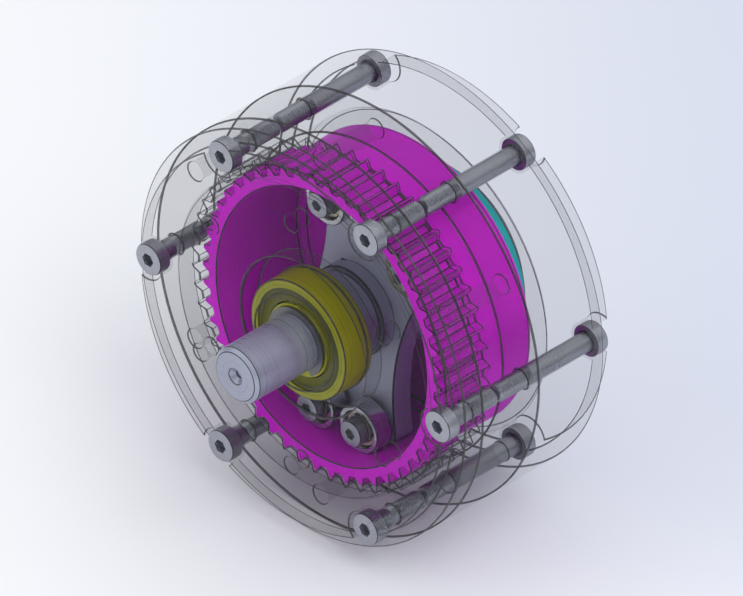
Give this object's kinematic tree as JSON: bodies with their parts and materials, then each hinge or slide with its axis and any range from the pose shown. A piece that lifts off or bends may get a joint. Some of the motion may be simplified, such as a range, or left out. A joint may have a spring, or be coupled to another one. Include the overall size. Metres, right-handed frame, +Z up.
{
  "type": "strain wave gear",
  "caption": "Strain wave reducer: roller wave generator inside a toothed flexible cup that meshes with a fixed inner ring, between two round covers with an input shaft and output hub.",
  "frame": {"origin": "centre of the front (motor) mounting face, on the gear axis", "axes": "+Y along the gear axis from the input shaft to the output hub, +Z up, +X to the right seen from the input side"},
  "size_m": [0.11, 0.0754, 0.11],
  "materials": {
    "clear_grey": "clear smoke-grey moulded and turned plastic",
    "magenta_cup": "satin magenta",
    "machined_steel": "turned, satin blue-grey",
    "machined_aluminium": "milled, satin blue-grey",
    "olive_race": "satin olive yellow",
    "olive_shield": "satin olive yellow",
    "cyan_race": "satin cyan",
    "cyan_shield": "satin cyan",
    "ground_steel": "ground, bright",
    "screw_steel": "zinc plated",
    "spring_steel": "dark oiled spring steel",
    "cage_steel": "pressed, satin",
    "ball_chrome": "polished"
  },
  "bodies": {
    "housing": {"front_cover": "clear_grey", "ring_gear": "clear_grey", "rear_cover": "clear_grey", "front_cover_screws": "screw_steel", "rear_cover_screws": "screw_steel", "input_outer_ring": "olive_race", "input_shields": "olive_shield", "output_outer_ring": "cyan_race", "output_shields": "cyan_shield"},
    "wave_generator": {"input_shaft": "machined_steel", "shaft_circlip": "spring_steel", "wave_plate": "machined_aluminium", "drive_pins": "ground_steel", "stub_shaft": "machined_steel", "stub_screws": "screw_steel", "roller_screws": "screw_steel", "input_inner_ring": "olive_race", "stub_inner_ring": "cyan_race", "roller_inner_rings": "ground_steel"},
    "output": {"flexspline": "magenta_cup", "output_hub": "machined_aluminium", "cup_screws": "screw_steel", "output_inner_ring": "cyan_race", "stub_outer_ring": "cyan_race", "stub_shields": "cyan_shield"},
    "input_ball_set": {"input_cage": "cage_steel", "input_balls": "ball_chrome"},
    "output_ball_set": {"output_cage": "cage_steel", "output_balls": "ball_chrome"},
    "stub_ball_set": {"stub_cage": "cage_steel", "stub_balls": "ball_chrome"},
    "roller_1": {"roller_1_ring": "ground_steel"},
    "roller_1_ball_set": {"roller_1_cage": "cage_steel", "roller_1_balls": "ball_chrome"},
    "roller_2": {"roller_2_ring": "ground_steel"},
    "roller_2_ball_set": {"roller_2_cage": "cage_steel", "roller_2_balls": "ball_chrome"},
    "roller_3": {"roller_3_ring": "ground_steel"},
    "roller_3_ball_set": {"roller_3_cage": "cage_steel", "roller_3_balls": "ball_chrome"},
    "roller_4": {"roller_4_ring": "ground_steel"},
    "roller_4_ball_set": {"roller_4_cage": "cage_steel", "roller_4_balls": "ball_chrome"},
    "roller_5": {"roller_5_ring": "ground_steel"},
    "roller_5_ball_set": {"roller_5_cage": "cage_steel", "roller_5_balls": "ball_chrome"},
    "roller_6": {"roller_6_ring": "ground_steel"},
    "roller_6_ball_set": {"roller_6_cage": "cage_steel", "roller_6_balls": "ball_chrome"}
  },
  "joints": [
    {"name": "input_spin", "type": "hinge", "parent": "housing", "child": "wave_generator", "pos_m": [0, 0, 0], "axis": [0, 1, 0], "continuous": true, "deforming": ["flexspline"]},
    {"name": "output_spin", "type": "hinge", "parent": "housing", "child": "output", "pos_m": [0, 0.0495, 0], "axis": [0, 1, 0], "continuous": true},
    {"name": "input_ball_spin", "type": "hinge", "parent": "housing", "child": "input_ball_set", "pos_m": [0, 0.007, 0], "axis": [0, 1, 0], "continuous": true},
    {"name": "output_ball_spin", "type": "hinge", "parent": "housing", "child": "output_ball_set", "pos_m": [0, 0.05, 0], "axis": [0, 1, 0], "continuous": true},
    {"name": "stub_ball_spin", "type": "hinge", "parent": "housing", "child": "stub_ball_set", "pos_m": [0, 0.0535, 0], "axis": [0, 1, 0], "continuous": true},
    {"name": "roller_1_spin", "type": "hinge", "parent": "wave_generator", "child": "roller_1", "pos_m": [0.02148, 0.0196, 0.02267], "axis": [0, 1, 0], "continuous": true},
    {"name": "roller_1_ball_spin", "type": "hinge", "parent": "wave_generator", "child": "roller_1_ball_set", "pos_m": [0.02148, 0.0196, 0.02267], "axis": [0, 1, 0], "continuous": true},
    {"name": "roller_2_spin", "type": "hinge", "parent": "wave_generator", "child": "roller_2", "pos_m": [0.00906, 0.0196, 0.03059], "axis": [0, 1, 0], "continuous": true},
    {"name": "roller_2_ball_spin", "type": "hinge", "parent": "wave_generator", "child": "roller_2_ball_set", "pos_m": [0.00906, 0.0196, 0.03059], "axis": [0, 1, 0], "continuous": true},
    {"name": "roller_3_spin", "type": "hinge", "parent": "wave_generator", "child": "roller_3", "pos_m": [-0.00567, 0.0196, 0.0307], "axis": [0, 1, 0], "continuous": true},
    {"name": "roller_3_ball_spin", "type": "hinge", "parent": "wave_generator", "child": "roller_3_ball_set", "pos_m": [-0.00567, 0.0196, 0.0307], "axis": [0, 1, 0], "continuous": true},
    {"name": "roller_4_spin", "type": "hinge", "parent": "wave_generator", "child": "roller_4", "pos_m": [-0.02148, 0.0196, -0.02267], "axis": [0, 1, 0], "continuous": true},
    {"name": "roller_4_ball_spin", "type": "hinge", "parent": "wave_generator", "child": "roller_4_ball_set", "pos_m": [-0.02148, 0.0196, -0.02267], "axis": [0, 1, 0], "continuous": true},
    {"name": "roller_5_spin", "type": "hinge", "parent": "wave_generator", "child": "roller_5", "pos_m": [-0.00906, 0.0196, -0.03059], "axis": [0, 1, 0], "continuous": true},
    {"name": "roller_5_ball_spin", "type": "hinge", "parent": "wave_generator", "child": "roller_5_ball_set", "pos_m": [-0.00906, 0.0196, -0.03059], "axis": [0, 1, 0], "continuous": true},
    {"name": "roller_6_spin", "type": "hinge", "parent": "wave_generator", "child": "roller_6", "pos_m": [0.00567, 0.0196, -0.0307], "axis": [0, 1, 0], "continuous": true},
    {"name": "roller_6_ball_spin", "type": "hinge", "parent": "wave_generator", "child": "roller_6_ball_set", "pos_m": [0.00567, 0.0196, -0.0307], "axis": [0, 1, 0], "continuous": true}
  ],
  "couplings": [
    {"joint": "output_spin", "follows": "input_spin", "ratio": -0.04},
    {"joint": "input_ball_spin", "follows": "input_spin", "ratio": 0.39872},
    {"joint": "output_ball_spin", "follows": "input_spin", "ratio": -0.018478},
    {"joint": "stub_ball_spin", "follows": "input_spin", "ratio": 0.39333},
    {"joint": "roller_1_spin", "follows": "input_spin", "ratio": -5.904},
    {"joint": "roller_1_ball_spin", "follows": "input_spin", "ratio": -3.6466},
    {"joint": "roller_2_spin", "follows": "input_spin", "ratio": -5.904},
    {"joint": "roller_2_ball_spin", "follows": "input_spin", "ratio": -3.6466},
    {"joint": "roller_3_spin", "follows": "input_spin", "ratio": -5.904},
    {"joint": "roller_3_ball_spin", "follows": "input_spin", "ratio": -3.6466},
    {"joint": "roller_4_spin", "follows": "input_spin", "ratio": -5.904},
    {"joint": "roller_4_ball_spin", "follows": "input_spin", "ratio": -3.6466},
    {"joint": "roller_5_spin", "follows": "input_spin", "ratio": -5.904},
    {"joint": "roller_5_ball_spin", "follows": "input_spin", "ratio": -3.6466},
    {"joint": "roller_6_spin", "follows": "input_spin", "ratio": -5.904},
    {"joint": "roller_6_ball_spin", "follows": "input_spin", "ratio": -3.6466}
  ]
}
